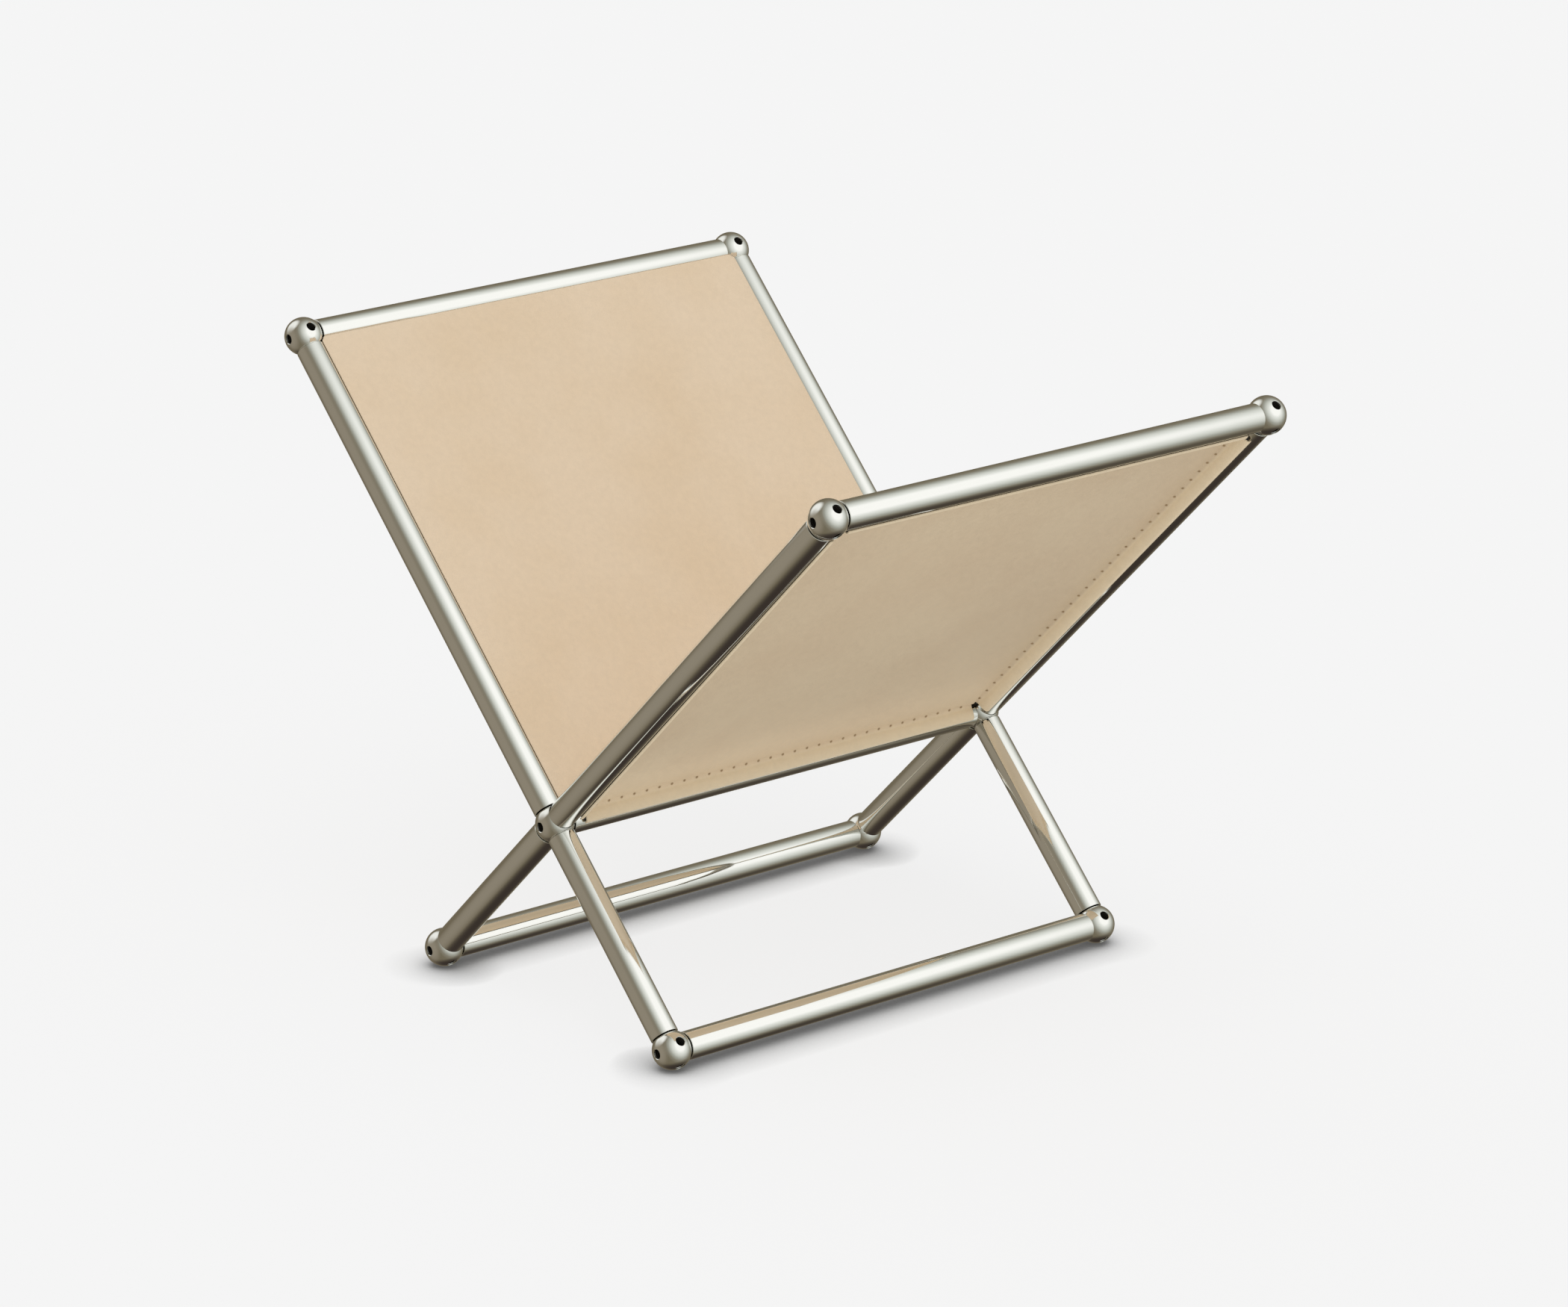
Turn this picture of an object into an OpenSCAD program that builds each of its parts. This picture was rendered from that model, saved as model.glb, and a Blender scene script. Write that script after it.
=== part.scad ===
// Magazine rack: an X-shaped frame of round tubes screwed into connector balls,
// with two leather-covered panels between the upper arms that form a V.
// Millimetres. X runs across the V, Y along the rack, Z up. The origin is on the
// floor, midway between the four foot balls.

/* [Frame] */
// Distance between ball centres along the rack (Y)
rack_length = 350; // [250:5:450]
// Distance between ball centres along an upper arm
upper_arm = 362; // [260:1:450]
// Distance between ball centres along a lower leg
lower_leg = 162; // [100:1:240]

/* [Tubes] */
// Outer diameter of every tube
tube_d = 18; // [16:0.5:18.5]
// Wall thickness of every tube
tube_wall = 1.5; // [1.2:0.1:2]

/* [Connector balls] */
// Diameter of a connector ball
ball_d = 24.5; // [24:0.1:26]
// Diameter of the six screw sockets in each ball
socket_d = 6; // [5:0.5:6]
// Depth of a screw socket below the top of the ball
socket_depth = 7.5; // [6:0.5:8]
// Width of the bevel around a socket mouth
socket_bevel = 0.4; // [0.2:0.1:0.6]

/* [Joint hardware] */
// Length of the threaded plug pressed into each tube end
plug_length = 14; // [10:1:20]
// Radial gap between a stud and the hole it is screwed into
stud_gap = 0.05; // [0.03:0.01:0.1]
// Gap between a tube end and the ball it seats on
seat_gap = 0.05; // [0.03:0.01:0.1]

/* [Panels] */
// Height of the inner leather face above the plane through the tube axes
face_height = 7.9; // [7.5:0.1:8.5]
// Thickness of the leather
leather_t = 1.3; // [1:0.1:1.6]
// Thickness of the stiff board inside a panel
board_t = 3; // [2:0.5:3]
// Distance from a tube axis to the edge of the inner leather
lap_edge = 6.2; // [6:0.1:8]
// Thickness of the channel strips that hug the tubes
strip_t = 1.9; // [1.5:0.1:2.1]
// Gap between the panel and the tubes and balls around it
panel_gap = 0.3; // [0.2:0.05:0.4]
// Angle from the lowest point of a tube to the lip of the rolled edge
lip_angle = 43; // [35:1:55]
// Side of the square notch that clears each ball, from the tube axes
notch = 15.5; // [13.5:0.5:18]
// Gap between a rolled edge and the seam beside it
seam_gap = 0.5; // [0.3:0.1:3]
// Diameter of the seam thread
thread_d = 0.9; // [0.6:0.1:1.2]

/* [Hidden] */
tilt = 45; // arms and legs cross at a right angle, as the ball sockets do
tube_r = tube_d / 2;
bore_r = tube_r - tube_wall;
ball_r = ball_d / 2;
socket_r = socket_d / 2;
stud_r = socket_r - stud_gap;
seat = sqrt(ball_r * ball_r - bore_r * bore_r) + seat_gap; // tube end from the ball centre
plug_start = ball_r + 0.5;
stud_in = ball_r - socket_depth + 0.5;
stud_out = plug_start + plug_length - 2;
cross_z = ball_r + lower_leg * cos(tilt);
half_length = rack_length / 2;
tube_clear = tube_r + panel_gap; // channel radius around a tube
ball_clear = ball_r + panel_gap;
strip_r = tube_clear + strip_t;
skin_r = strip_r + leather_t;
glue = 0.05; // glue line between a strip and the leather over it
board_top = face_height - leather_t;
board_low = board_top - board_t;
skin_low = board_low - leather_t;
roll_mid = (strip_r + glue + skin_r) / 2;
flat_low = (skin_low + board_low) / 2;
flat_edge = sqrt(roll_mid * roll_mid - flat_low * flat_low); // where the flat leather meets the roll
seam_margin = 6; // plain end of the seam at a notch
strip_short = 11; // degrees by which a strip stops before the lip of the leather over it
fold_edge = max(lap_edge, face_height + 0.2); // inner edge at the crossing, clear of the other panel
far = 2 * ball_d;

// colours
chrome_tint = [0.82, 0.83, 0.84];
steel_tint = [0.55, 0.56, 0.58];
leather_tint = [0.84, 0.74, 0.60];
board_tint = [0.17, 0.15, 0.13];
strip_tint = [0.25, 0.23, 0.22];
thread_tint = [0.62, 0.50, 0.34];

// ---- placing ----

// lays local +X along the right arm and local +Z on the side inside the V
module on_right_arm() {
    translate([0, 0, cross_z]) rotate([0, -tilt, 0]) children();
}

// the same on the left arm, as a mirror image
module on_left_arm() {
    mirror([1, 0, 0]) on_right_arm() children();
}

// ---- balls ----

// one socket along +Z with a bevelled mouth
module socket() {
    translate([0, 0, ball_r - socket_depth]) cylinder(r = socket_r, h = far);
    translate([0, 0, sqrt(ball_r * ball_r - socket_r * socket_r) - socket_bevel])
        cylinder(r1 = socket_r, r2 = socket_r + 2 * socket_bevel, h = 2 * socket_bevel);
}

// ball with six sockets, turned so that the sockets face the arms and the rack's length
module ball_at(x, y, z) {
    color(chrome_tint) translate([x, y, z]) rotate([0, tilt, 0]) difference() {
        sphere(r = ball_r);
        socket();
        rotate([180, 0, 0]) socket();
        rotate([90, 0, 0]) socket();
        rotate([-90, 0, 0]) socket();
        rotate([0, 90, 0]) socket();
        rotate([0, -90, 0]) socket();
    }
}

module top_ball(side, end) {
    ball_at(side * upper_arm * sin(tilt), end * half_length, cross_z + upper_arm * cos(tilt));
}

module crossing_ball(end) {
    ball_at(0, end * half_length, cross_z);
}

module foot_ball(side, end) {
    ball_at(side * lower_leg * sin(tilt), end * half_length, ball_r);
}

// ---- tubes ----

// tube along +Z from one ball centre to the next, span apart
module tube(span) {
    color(chrome_tint) translate([0, 0, seat]) difference() {
        cylinder(r = tube_r, h = span - 2 * seat);
        translate([0, 0, -1]) cylinder(r = bore_r, h = span - 2 * seat + 2);
    }
}

// stands +Z along the rack at height z, x to the side
module along_rack(x, z) {
    translate([x, -half_length, z]) rotate([-90, 0, 0]) children();
}

// stands +Z up the arm on one side and end
module up_arm(side, end) {
    translate([0, end * half_length, cross_z]) rotate([0, side * tilt, 0]) children();
}

// stands +Z down the leg on one side and end
module down_leg(side, end) {
    translate([0, end * half_length, cross_z]) rotate([0, side * (180 - tilt), 0]) children();
}

module rail_top(side) {
    along_rack(side * upper_arm * sin(tilt), cross_z + upper_arm * cos(tilt)) tube(rack_length);
}

module rail_foot(side) {
    along_rack(side * lower_leg * sin(tilt), ball_r) tube(rack_length);
}

module rail_crossing() {
    along_rack(0, cross_z) tube(rack_length);
}

module arm(side, end) {
    up_arm(side, end) tube(upper_arm);
}

module leg(side, end) {
    down_leg(side, end) tube(lower_leg);
}

// ---- plugs and studs inside the joints ----

// threaded plug pressed into the tube end nearest the origin
module plug() {
    translate([0, 0, plug_start]) difference() {
        cylinder(r = bore_r - glue, h = plug_length);
        translate([0, 0, -1]) cylinder(r = socket_r, h = plug_length + 2);
    }
}

// stud from the socket into the plug
module stud() {
    translate([0, 0, stud_in]) cylinder(r = stud_r, h = stud_out - stud_in);
}

// child at both ends of a span
module both_ends(span) {
    children();
    translate([0, 0, span]) rotate([180, 0, 0]) children();
}

// child at every tube end in the frame
module every_joint() {
    for (side = [-1, 1]) {
        along_rack(side * upper_arm * sin(tilt), cross_z + upper_arm * cos(tilt))
            both_ends(rack_length) children();
        along_rack(side * lower_leg * sin(tilt), ball_r) both_ends(rack_length) children();
        for (end = [-1, 1]) {
            up_arm(side, end) both_ends(upper_arm) children();
            down_leg(side, end) both_ends(lower_leg) children();
        }
    }
    along_rack(0, cross_z) both_ends(rack_length) children();
}

module tube_end_plugs() {
    color(steel_tint) every_joint() plug();
}

module joint_studs() {
    color(steel_tint) every_joint() stud();
}

// ---- panels, drawn flat: X up the arm, Y along the rack, Z into the V ----

// flat sheet that stops a distance from the tube axes, and at start from the crossing tube's axis
module sheet_between(edge, start, low, high) {
    translate([start, edge - half_length, low])
        cube([upper_arm - edge - start, rack_length - 2 * edge, high - low]);
}

// the four tubes around the panel, grown to radius r
module frame_tubes(r) {
    for (x = [0, upper_arm])
        translate([x, -half_length - far, 0]) rotate([-90, 0, 0]) cylinder(r = r, h = rack_length + 2 * far);
    for (y = [-half_length, half_length])
        translate([-far, y, 0]) rotate([0, 90, 0]) cylinder(r = r, h = upper_arm + 2 * far);
}

// the four balls around the panel, with clearance
module frame_balls() {
    for (x = [0, upper_arm])
        for (y = [-half_length, half_length])
            translate([x, y, 0]) sphere(r = ball_clear);
}

// square blocks that cut the corner notches
module corner_notches(low, high) {
    for (x = [0, upper_arm])
        for (y = [-half_length, half_length])
            translate([x - notch, y - notch, low]) cube([2 * notch, 2 * notch, high - low]);
}

// rolled edge around a tube lying on the Z axis, panel on the +X side, V side up +Y;
// it ends lip degrees below the plane of the tube axes
module roll(r_in, r_out, run, lip) {
    reach = 2 * skin_r;
    intersection() {
        difference() {
            cylinder(r = r_out, h = run);
            translate([0, 0, -1]) cylinder(r = r_in, h = run + 2);
        }
        linear_extrude(height = run) polygon([
            [0, 0],
            [reach * cos(lip), -reach * sin(lip)],
            [reach, -reach * sin(lip)],
            [reach, board_low],
            [0, board_low]
        ]);
    }
}

// moves a roll drawn on the Z axis to one edge of the flat panel
module bottom_edge() {
    translate([0, notch - half_length, 0]) rotate([90, 0, 0]) mirror([0, 0, 1]) children();
}

module top_edge() {
    translate([upper_arm, 0, 0]) mirror([1, 0, 0]) bottom_edge() children();
}

module front_edge() {
    translate([notch, -half_length, 0]) multmatrix([[0, 0, 1, 0], [1, 0, 0, 0], [0, 1, 0, 0]]) children();
}

module back_edge() {
    mirror([0, 1, 0]) front_edge() children();
}

run_y = rack_length - 2 * notch;
run_x = upper_arm - 2 * notch;

module board() {
    color(board_tint) difference() {
        sheet_between(lap_edge, fold_edge, board_low, board_top);
        frame_tubes(tube_clear);
        frame_balls();
    }
}

module inner_leather() {
    color(leather_tint) difference() {
        sheet_between(lap_edge, fold_edge, board_top, face_height);
        frame_tubes(tube_clear);
        frame_balls();
    }
}

module outer_leather() {
    color(leather_tint) union() {
        difference() {
            sheet_between(flat_edge, flat_edge, skin_low, board_low);
            corner_notches(skin_low - 1, board_low + 1);
        }
        bottom_edge() roll(strip_r + glue, skin_r, run_y, 90 - lip_angle);
        top_edge() roll(strip_r + glue, skin_r, run_y, 90 - lip_angle);
        front_edge() roll(strip_r + glue, skin_r, run_x, 90 - lip_angle);
        back_edge() roll(strip_r + glue, skin_r, run_x, 90 - lip_angle);
    }
}

module strip(run) {
    color(strip_tint) roll(tube_clear, strip_r, run, 90 - lip_angle - strip_short);
}

// one straight run of thread on the flat leather beside a rolled edge
module seam(run) {
    translate([skin_r + seam_gap + thread_d / 2, skin_low - glue - thread_d / 2, seam_margin])
        cylinder(d = thread_d, h = run - 2 * seam_margin);
}

module seam_thread() {
    color(thread_tint) {
        bottom_edge() seam(run_y);
        top_edge() seam(run_y);
        front_edge() seam(run_x);
        back_edge() seam(run_x);
    }
}

// ---- nodes ----

top_ball(-1, -1);  // ball_top_left_front
top_ball(-1, 1);  // ball_top_left_back
top_ball(1, -1);  // ball_top_right_front
top_ball(1, 1);  // ball_top_right_back
crossing_ball(-1);  // ball_crossing_front
crossing_ball(1);  // ball_crossing_back
foot_ball(-1, -1);  // ball_foot_left_front
foot_ball(-1, 1);  // ball_foot_left_back
foot_ball(1, -1);  // ball_foot_right_front
foot_ball(1, 1);  // ball_foot_right_back
rail_top(-1);  // tube_top_left
rail_top(1);  // tube_top_right
rail_crossing();  // tube_crossing
rail_foot(-1);  // tube_foot_left
rail_foot(1);  // tube_foot_right
arm(-1, -1);  // tube_upper_left_front
arm(-1, 1);  // tube_upper_left_back
arm(1, -1);  // tube_upper_right_front
arm(1, 1);  // tube_upper_right_back
leg(-1, -1);  // tube_lower_left_front
leg(-1, 1);  // tube_lower_left_back
leg(1, -1);  // tube_lower_right_front
leg(1, 1);  // tube_lower_right_back
tube_end_plugs();
joint_studs();
on_left_arm() board();  // left_panel_board
on_left_arm() inner_leather();  // left_panel_inner_leather
on_left_arm() outer_leather();  // left_panel_outer_leather
on_left_arm() top_edge() strip(run_y);  // left_panel_strip_top
on_left_arm() bottom_edge() strip(run_y);  // left_panel_strip_bottom
on_left_arm() front_edge() strip(run_x);  // left_panel_strip_front
on_left_arm() back_edge() strip(run_x);  // left_panel_strip_back
on_left_arm() seam_thread();  // left_panel_seam_thread
on_right_arm() board();  // right_panel_board
on_right_arm() inner_leather();  // right_panel_inner_leather
on_right_arm() outer_leather();  // right_panel_outer_leather
on_right_arm() top_edge() strip(run_y);  // right_panel_strip_top
on_right_arm() bottom_edge() strip(run_y);  // right_panel_strip_bottom
on_right_arm() front_edge() strip(run_x);  // right_panel_strip_front
on_right_arm() back_edge() strip(run_x);  // right_panel_strip_back
on_right_arm() seam_thread();  // right_panel_seam_thread
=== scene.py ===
import bmesh
import bpy
import numpy as np
from mathutils import Matrix, Vector


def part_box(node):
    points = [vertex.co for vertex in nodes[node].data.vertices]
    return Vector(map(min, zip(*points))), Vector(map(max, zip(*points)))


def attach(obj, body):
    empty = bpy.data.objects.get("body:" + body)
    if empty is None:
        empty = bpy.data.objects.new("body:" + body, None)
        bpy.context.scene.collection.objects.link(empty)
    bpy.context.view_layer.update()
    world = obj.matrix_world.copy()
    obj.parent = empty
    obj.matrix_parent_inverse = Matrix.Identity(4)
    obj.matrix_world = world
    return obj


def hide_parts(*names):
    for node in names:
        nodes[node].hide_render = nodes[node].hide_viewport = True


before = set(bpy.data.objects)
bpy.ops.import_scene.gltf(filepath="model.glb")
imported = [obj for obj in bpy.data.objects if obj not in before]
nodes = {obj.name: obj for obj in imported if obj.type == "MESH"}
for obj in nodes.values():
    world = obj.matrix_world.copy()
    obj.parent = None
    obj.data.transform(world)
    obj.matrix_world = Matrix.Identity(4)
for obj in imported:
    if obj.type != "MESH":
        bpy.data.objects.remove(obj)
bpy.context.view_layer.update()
print("scene: frame loaded,", len(nodes), "nodes")

# The rack's own sizes in metres, as in the CAD: spans are from ball centre to ball centre.
rack = {
    "length": 0.350,      # along the rack, front ball to back ball
    "upperArm": 0.362,
    "lowerLeg": 0.162,
    "tubeRadius": 0.009,
    "tubeWall": 0.0015,
    "ballRadius": 0.01225,
}
lean = np.sqrt(0.5)       # sine and cosine of the 45 degree arms
crossHeight = rack["ballRadius"] + rack["lowerLeg"] * lean
halfLength = rack["length"] / 2
sides = {"left": -1, "right": 1}
ends = {"front": -1, "back": 1}


# A hex colour as it is seen on a screen, turned to the linear values that shaders use.
def linearColor(hexText):
    parts = np.array([int(hexText[i:i + 2], 16) for i in (1, 3, 5)]) / 255
    linear = np.where(parts <= 0.04045, parts / 12.92, ((parts + 0.055) / 1.055) ** 2.4)
    return (*map(float, linear), 1.0)


# Adds one node and sets its properties and its inputs.
# An input given as another node's output is linked, and any other is set as a value.
def addNode(tree, kind, props=None, inputs=None):
    made = tree.nodes.new(kind)
    for name, value in (props or {}).items():
        setattr(made, name, value)
    for name, value in (inputs or {}).items():
        if isinstance(value, bpy.types.NodeSocket):
            tree.links.new(value, made.inputs[name])
        else:
            made.inputs[name].default_value = value
    return made


# A new material with one Principled shader on its output, and the tree to build on.
def newMaterial(name, **inputs):
    material = bpy.data.materials.new(name)
    material.use_nodes = True
    tree = material.node_tree
    tree.nodes.clear()
    shader = addNode(tree, "ShaderNodeBsdfPrincipled", None, inputs)
    addNode(tree, "ShaderNodeOutputMaterial", None, {"Surface": shader.outputs[0]})
    return material, tree, shader


# A ramp between colours at the given places.
def setRamp(ramp, stops):
    line = ramp.color_ramp
    while len(line.elements) < len(stops):
        line.elements.new(0.5)
    for element, (place, color) in zip(line.elements, stops):
        element.position = place
        element.color = color


# A mesh object from an array of points and an array of quads. The mesh's own clean-up mends a quad
# that repeats a corner.
def meshObject(name, points, quads, material, uvName=None, uv=None):
    mesh = bpy.data.meshes.new(name)
    mesh.vertices.add(len(points))
    mesh.vertices.foreach_set("co", np.asarray(points, np.float32).ravel())
    mesh.loops.add(quads.size)
    mesh.loops.foreach_set("vertex_index", quads.ravel().astype(np.int32))
    mesh.polygons.add(len(quads))
    mesh.polygons.foreach_set("loop_start", np.arange(0, quads.size, 4, dtype=np.int32))
    mesh.polygons.foreach_set("use_smooth", np.ones(len(quads), bool))
    if uv is not None:
        layer = mesh.uv_layers.new(name=uvName)
        layer.uv.foreach_set("vector", uv[quads.ravel()].astype(np.float32).ravel())
    mesh.update(calc_edges=True)
    mesh.validate()
    mesh.materials.append(material)
    made = bpy.data.objects.new(name, mesh)
    bpy.context.scene.collection.objects.link(made)
    return made


chromeLook = {
    "color": "#F0F0ED",      # polished chromium plate
    "roughness": 0.05,
    "haze": (0.75, 1.8),     # least and most of that roughness where the plate was handled
    "hazeSize": 0.018,       # metres between the soft smudges in the polish
    "waveSize": 0.030,       # metres between the slow waves of a drawn tube
    "waveDepth": 0.0015,
    "thread": "#3A3733",     # oiled steel inside a socket, darkened further as painted shade in the hole
    "threadDull": 0.4,       # roughness that the cut thread adds
    "threadPitch": 0.001,
    "threadDepth": 0.0003,
    "socketTop": 0.0116,     # distance from a ball's centre below which its sockets are unplated and carry painted shade
    "socketFade": 0.0009,    # metres over which the plate thins out and the painted shade grows
}


# Bright chromium plate over drawn steel: mirror-like, with a little haze where it was handled.
# On a ball, the plate thins out inside the sockets to dark steel that is also painted shade in the holes, and
# the cut thread shows as dark rings.
def chromePlate(name, ballCentre=None):
    look = chromeLook
    material, tree, shader = newMaterial(name, **{"Metallic": 1.0, "Base Color": linearColor(look["color"])})
    place = addNode(tree, "ShaderNodeTexCoord")
    haze = addNode(tree, "ShaderNodeTexNoise", None, {
        "Vector": place.outputs["Object"], "Scale": 1 / look["hazeSize"], "Detail": 3.0, "Roughness": 0.6})
    rough = addNode(tree, "ShaderNodeMapRange", None, {
        "Value": haze.outputs["Fac"], "From Min": 0.35, "From Max": 0.75,
        "To Min": look["roughness"] * look["haze"][0], "To Max": look["roughness"] * look["haze"][1]})
    tree.links.new(rough.outputs["Result"], shader.inputs["Roughness"])
    wave = addNode(tree, "ShaderNodeTexNoise", None, {
        "Vector": place.outputs["Object"], "Scale": 1 / look["waveSize"], "Detail": 1.0})
    bump = addNode(tree, "ShaderNodeBump", None, {
        "Height": wave.outputs["Fac"], "Strength": 0.10, "Distance": look["waveDepth"]})
    if ballCentre is not None:
        local = addNode(tree, "ShaderNodeMapping", None, {
            "Vector": place.outputs["Object"], "Location": tuple(-c for c in ballCentre)})
        away = addNode(tree, "ShaderNodeVectorMath", {"operation": "LENGTH"}, {0: local.outputs["Vector"]})
        inside = addNode(tree, "ShaderNodeMapRange", None, {
            "Value": away.outputs["Value"], "From Min": look["socketTop"],
            "From Max": look["socketTop"] - look["socketFade"]})
        # inside a socket the colour goes to dark steel: unplated steel and painted shade in the hole
        deep = addNode(tree, "ShaderNodeMix", {"data_type": "RGBA"}, {
            0: inside.outputs["Result"], 6: linearColor(look["color"]), 7: linearColor(look["thread"])})
        tree.links.new(deep.outputs[2], shader.inputs["Base Color"])
        dull = addNode(tree, "ShaderNodeMath", {"operation": "MULTIPLY_ADD"}, {
            0: inside.outputs["Result"], 1: look["threadDull"], 2: rough.outputs["Result"]})
        tree.links.new(dull.outputs[0], shader.inputs["Roughness"])
        turns = addNode(tree, "ShaderNodeMath", {"operation": "MULTIPLY"}, {
            0: away.outputs["Value"], 1: 2 * np.pi / look["threadPitch"]})
        rings = addNode(tree, "ShaderNodeMath", {"operation": "SINE"}, {0: turns.outputs[0]})
        depth = addNode(tree, "ShaderNodeMath", {"operation": "MULTIPLY"}, {
            0: rings.outputs[0], 1: inside.outputs["Result"]})
        bump = addNode(tree, "ShaderNodeBump", None, {
            "Height": depth.outputs[0], "Strength": 0.8, "Distance": look["threadDepth"],
            "Normal": bump.outputs["Normal"]})
    tree.links.new(bump.outputs["Normal"], shader.inputs["Normal"])
    return material


tubeShape = {
    "around": 96,          # points round a tube
    "rim": 0.00025,        # radius on the outer edge of a tube end
    "rimSteps": 6,         # points round that radius
    "seatGap": 0.00005,    # between a tube end and its ball
    "boreRing": 0.01,      # from a tube end to a ring of points in the bore, which keeps its shading even
}
tubeChrome = chromePlate("chromePlatedSteel")


# A tube between two ball centres: its wall is a closed profile of radius and distance, turned about the axis.
# The point at angle a is start + distance * axis + radius * (cos a * side + sin a * up).
def tubePiece(name, cadNode, start, end):
    start, end = np.array(start), np.array(end)
    span = np.linalg.norm(end - start)
    axis = (end - start) / span
    side = np.cross(axis, [0.0, 1.0, 0.0] if abs(axis[1]) < 0.9 else [1.0, 0.0, 0.0])
    side /= np.linalg.norm(side)
    up = np.cross(axis, side)
    outer = rack["tubeRadius"]
    bore = outer - rack["tubeWall"]
    rim, ringIn = tubeShape["rim"], tubeShape["boreRing"]
    low = np.sqrt(rack["ballRadius"] ** 2 - bore ** 2) + tubeShape["seatGap"]
    high = span - low
    turn = np.linspace(0, np.pi / 2, tubeShape["rimSteps"])
    radius = np.concatenate([
        [bore], outer - rim + rim * np.sin(turn), outer - rim + rim * np.cos(turn), [bore, bore, bore]])
    along = np.concatenate([
        [low], low + rim - rim * np.cos(turn), high - rim + rim * np.sin(turn),
        [high, high - ringIn, low + ringIn]])
    angle = np.linspace(0, 2 * np.pi, tubeShape["around"], endpoint=False)
    ring = np.cos(angle)[:, None] * side + np.sin(angle)[:, None] * up
    points = start + along[None, :, None] * axis + radius[None, :, None] * ring[:, None, :]
    rows, columns = points.shape[:2]
    i, j = np.meshgrid(np.arange(rows), np.arange(columns), indexing="ij")
    nextI, nextJ = (i + 1) % rows, (j + 1) % columns
    quads = np.stack([i * columns + j, nextI * columns + j, nextI * columns + nextJ, i * columns + nextJ], -1)
    piece = meshObject(name, points.reshape(-1, 3), quads.reshape(-1, 4), tubeChrome)
    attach(piece, "root")
    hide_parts(cadNode)


# The ball centre at the top, the crossing or the foot, on one side (-1, 1) and one end (-1, 1).
def ballCentre(level, side, end):
    reach = {"top": rack["upperArm"], "crossing": 0.0, "foot": rack["lowerLeg"]}[level] * lean
    drop = -1 if level == "foot" else 1
    return (side * reach, end * halfLength, crossHeight + drop * reach)


for sideName, side in sides.items():
    for level in ("top", "foot"):
        tubePiece(f"{level}Rail.{sideName}", f"tube_{level}_{sideName}",
                  ballCentre(level, side, -1), ballCentre(level, side, 1))
    for endName, end in ends.items():
        tubePiece(f"arm.{sideName}.{endName}", f"tube_upper_{sideName}_{endName}",
                  ballCentre("crossing", side, end), ballCentre("top", side, end))
        tubePiece(f"leg.{sideName}.{endName}", f"tube_lower_{sideName}_{endName}",
                  ballCentre("crossing", side, end), ballCentre("foot", side, end))
tubePiece("crossingRail", "tube_crossing", ballCentre("crossing", 1, -1), ballCentre("crossing", 1, 1))
for name, piece in nodes.items():
    if name.startswith("ball_"):
        low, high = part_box(name)
        piece.data.materials[0] = chromePlate(name.replace("ball_", "chromePlatedBall_"), (low + high) / 2)
print("scene: chrome tubes and balls done")

# The darkest and palest colour of each finish inside the joints and panels, and its pattern's size in metres.
insideLook = {
    "zinc": ("#9DA1A6", "#B9BCBE"),
    "spangle": 1 / 600,
    # the board's near-black is painted shade, so that the notches look dark
    "board": ("#26211D", "#3A322B"),
    "fibre": 1 / 900,
    "rubber": ("#262423", "#3A3735"),
    "bloom": 1 / 350,
}


# Zinc-plated steel: duller than chrome, with the bluish spangle of thin zinc.
def zincPlate():
    material, tree, shader = newMaterial("zincPlatedSteel", **{"Metallic": 1.0, "Roughness": 0.34})
    place = addNode(tree, "ShaderNodeTexCoord")
    spangle = addNode(tree, "ShaderNodeTexVoronoi", None, {
        "Vector": place.outputs["Object"], "Scale": 1 / insideLook["spangle"]})
    tint = addNode(tree, "ShaderNodeValToRGB", None, {"Fac": spangle.outputs["Distance"]})
    setRamp(tint, list(zip((0.0, 1.0), map(linearColor, insideLook["zinc"]))))
    tree.links.new(tint.outputs["Color"], shader.inputs["Base Color"])
    return material


# Hardboard coloured nearly black as painted shade, so that the notches look dark: pressed fibres about a
# millimetre long, matt.
def hardboard():
    material, tree, shader = newMaterial("shadeDarkHardboard", **{"Roughness": 0.82})
    place = addNode(tree, "ShaderNodeTexCoord")
    fibre = addNode(tree, "ShaderNodeTexNoise", None, {
        "Vector": place.outputs["Object"], "Scale": 1 / insideLook["fibre"], "Detail": 4.0, "Roughness": 0.7})
    tint = addNode(tree, "ShaderNodeValToRGB", None, {"Fac": fibre.outputs["Fac"]})
    setRamp(tint, list(zip((0.3, 0.7), map(linearColor, insideLook["board"]))))
    tree.links.new(tint.outputs["Color"], shader.inputs["Base Color"])
    bump = addNode(tree, "ShaderNodeBump", None, {
        "Height": fibre.outputs["Fac"], "Strength": 0.3, "Distance": 0.0003})
    tree.links.new(bump.outputs["Normal"], shader.inputs["Normal"])
    return material


# Extruded black rubber: a soft sheen, clouded by a faint bloom.
def channelRubber():
    material, tree, shader = newMaterial("extrudedRubber", **{"Roughness": 0.62, "IOR": 1.52})
    place = addNode(tree, "ShaderNodeTexCoord")
    bloom = addNode(tree, "ShaderNodeTexNoise", None, {
        "Vector": place.outputs["Object"], "Scale": 1 / insideLook["bloom"], "Detail": 3.0})
    tint = addNode(tree, "ShaderNodeValToRGB", None, {"Fac": bloom.outputs["Fac"]})
    setRamp(tint, list(zip((0.3, 0.8), map(linearColor, insideLook["rubber"]))))
    tree.links.new(tint.outputs["Color"], shader.inputs["Base Color"])
    return material


zinc, board, rubber = zincPlate(), hardboard(), channelRubber()
for name, piece in nodes.items():
    if name in ("tube_end_plugs", "joint_studs"):
        piece.data.materials[0] = zinc
    elif name.endswith("panel_board"):
        piece.data.materials[0] = board
    elif "_panel_strip_" in name:
        piece.data.materials[0] = rubber
print("scene: hidden hardware done")

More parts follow.
